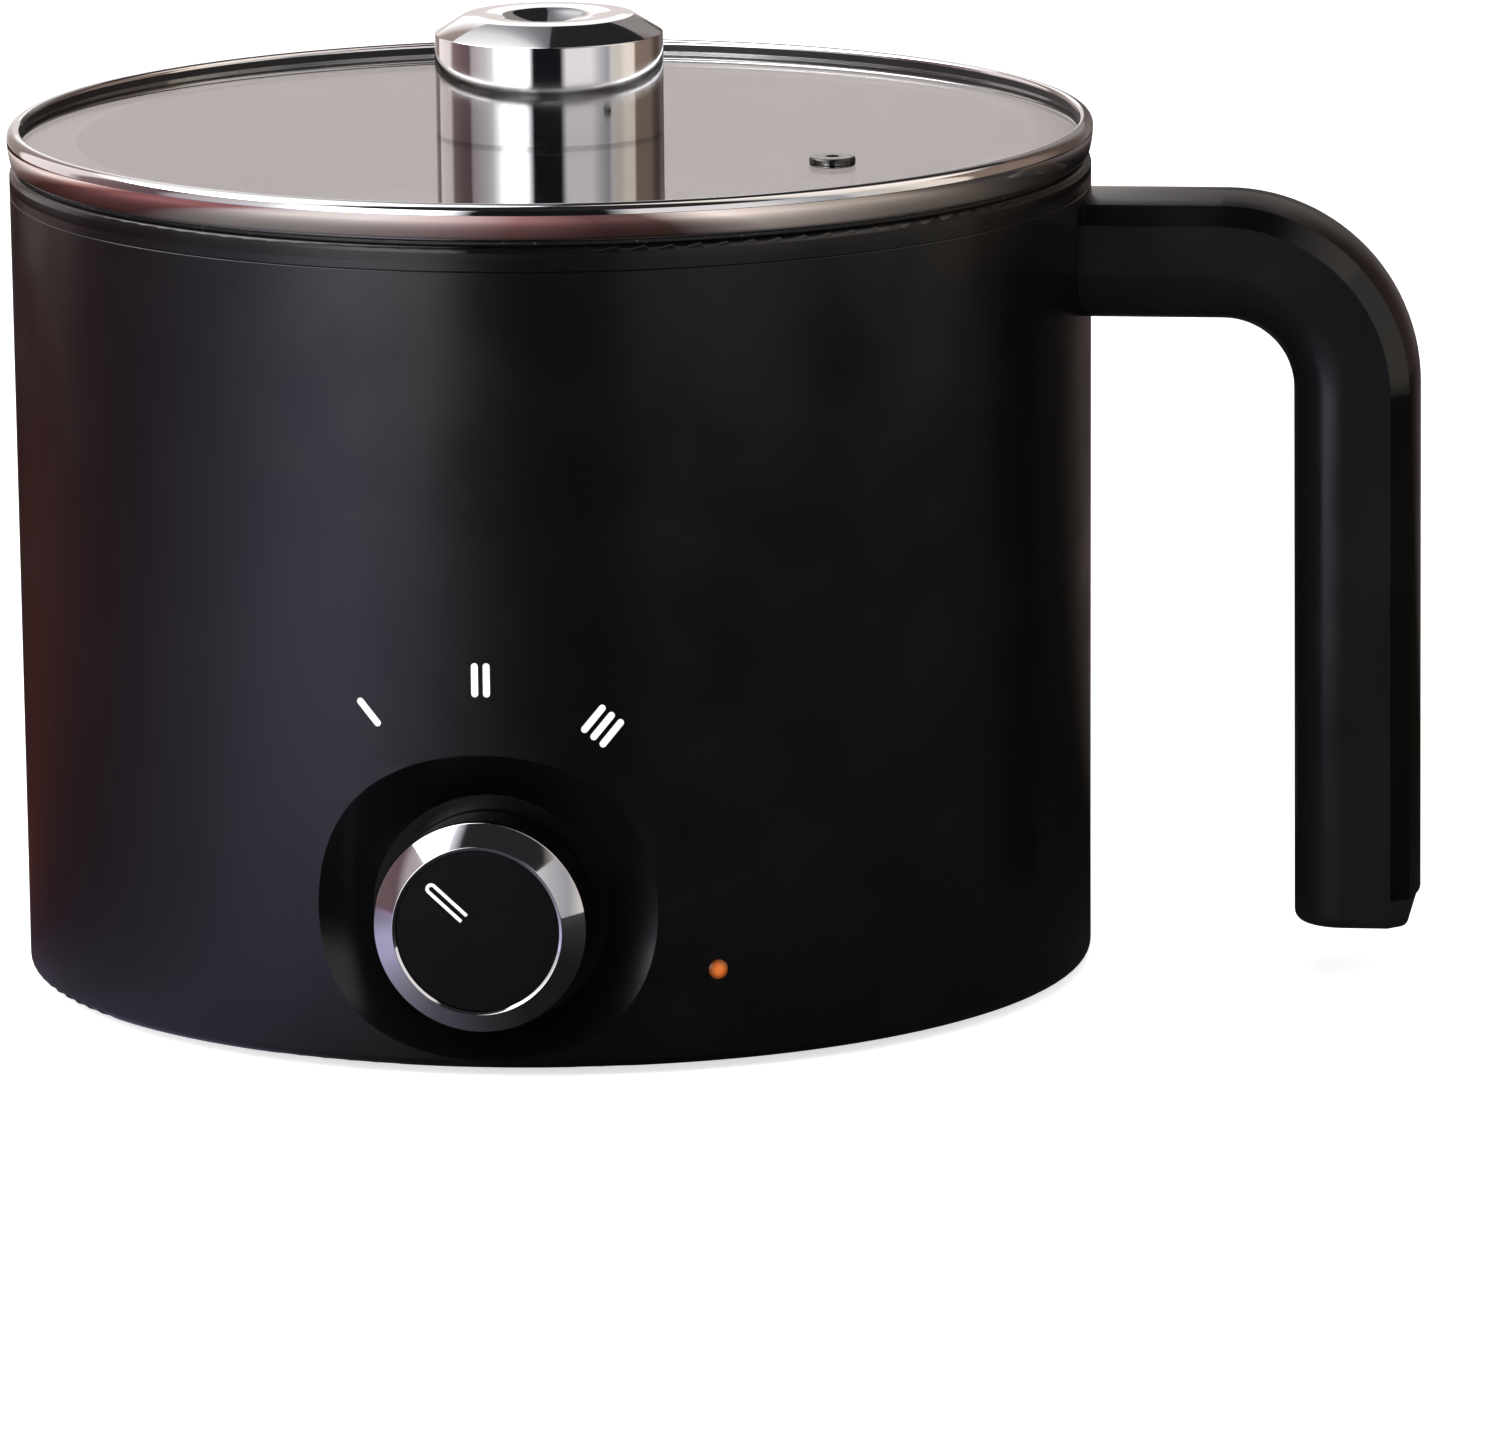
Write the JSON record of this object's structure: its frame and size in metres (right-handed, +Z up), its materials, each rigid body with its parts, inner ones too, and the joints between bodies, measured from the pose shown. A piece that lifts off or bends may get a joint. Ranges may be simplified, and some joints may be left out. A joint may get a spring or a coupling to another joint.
{
  "type": "candle wax melter",
  "caption": "Electric wax melting pot with a round black shell, non-stick pot, rotary heat knob, L-shaped side handle and lift-off glass lid with a chrome band and knob.",
  "frame": {"origin": "on the pot's axis, on the plane that the foot ring stands on", "axes": "+Z up along the pot's axis, +X from the axis towards the handle, -Y towards the heat knob, +Y towards the power inlet"},
  "size_m": [0.2408, 0.1926, 0.164],
  "materials": {
    "shell_plastic": "satin black",
    "handle_plastic": "satin black",
    "spine_plastic": "gloss black",
    "knob_plastic": "satin black",
    "cap_plastic": "gloss black",
    "base_plastic": "fine grained black",
    "inner_plastic": "moulded cream",
    "inlet_plastic": "moulded black",
    "white_print": "printed white",
    "lamp_lens": "lit orange",
    "clear_glass": "clear",
    "lid_glass": "clear tempered",
    "chrome_trim": "polished",
    "grommet_steel": "satin",
    "nonstick_coating": "speckled non-stick",
    "cast_aluminium": "as cast",
    "heater_steel": "oxidised tube",
    "sheet_steel": "zinc plated",
    "screw_steel": "zinc plated",
    "pin_brass": "polished",
    "silicone": "matte grey",
    "foot_rubber": "matte black",
    "fuse_sleeve": "woven glass sleeve",
    "lead_brown": "insulation",
    "lead_blue": "insulation",
    "lead_red": "insulation",
    "lead_white": "insulation"
  },
  "bodies": {
    "cooker": {"outer_shell": "shell_plastic", "level_marks": "white_print", "lamp_lens": "lamp_lens", "lamp_holder": "inner_plastic", "neon_lamp": "clear_glass", "inner_pot": "nonstick_coating", "pot_gasket": "silicone", "heating_plate": "cast_aluminium", "heating_element": "heater_steel", "heat_shield": "sheet_steel", "shield_standoffs": "screw_steel", "shield_screws": "screw_steel", "thermostat": "sheet_steel", "plate_screws": "screw_steel", "thermal_fuse": "fuse_sleeve", "fuse_clip": "sheet_steel", "rotary_switch": "inner_plastic", "switch_nut": "screw_steel", "power_inlet": "inlet_plastic", "inlet_pins": "pin_brass", "inlet_screws": "screw_steel", "base_cover": "base_plastic", "base_screws": "screw_steel", "foot_ring": "foot_rubber", "handle_body": "handle_plastic", "handle_cover": "spine_plastic", "cover_screws": "screw_steel", "handle_bracket": "sheet_steel", "handle_screws": "screw_steel", "live_lead": "lead_brown", "neutral_lead": "lead_blue", "switched_lead": "lead_red", "heater_lead": "lead_red", "lamp_leads": "lead_white"},
    "control_knob": {"knob_body": "knob_plastic", "knob_ring": "chrome_trim", "knob_cap": "cap_plastic", "knob_pointer": "white_print", "switch_shaft": "screw_steel", "knob_clip": "sheet_steel"},
    "lid": {"lid_rim": "chrome_trim", "lid_glass": "lid_glass", "vent_grommet": "grommet_steel", "lid_knob": "chrome_trim", "lid_knob_insert": "pin_brass", "lid_washer": "silicone", "lid_knob_screw": "screw_steel"}
  },
  "joints": [
    {"name": "knob_turn", "type": "hinge", "parent": "cooker", "child": "control_knob", "pos_m": [0, -0.09, 0.0267], "axis": [0, 1, 0], "range_deg": [-40.7, 94.3]},
    {"name": "lid_lift", "type": "slide", "parent": "cooker", "child": "lid", "axis": [0, 0, 1], "range_m": [0, 0.15]}
  ]
}
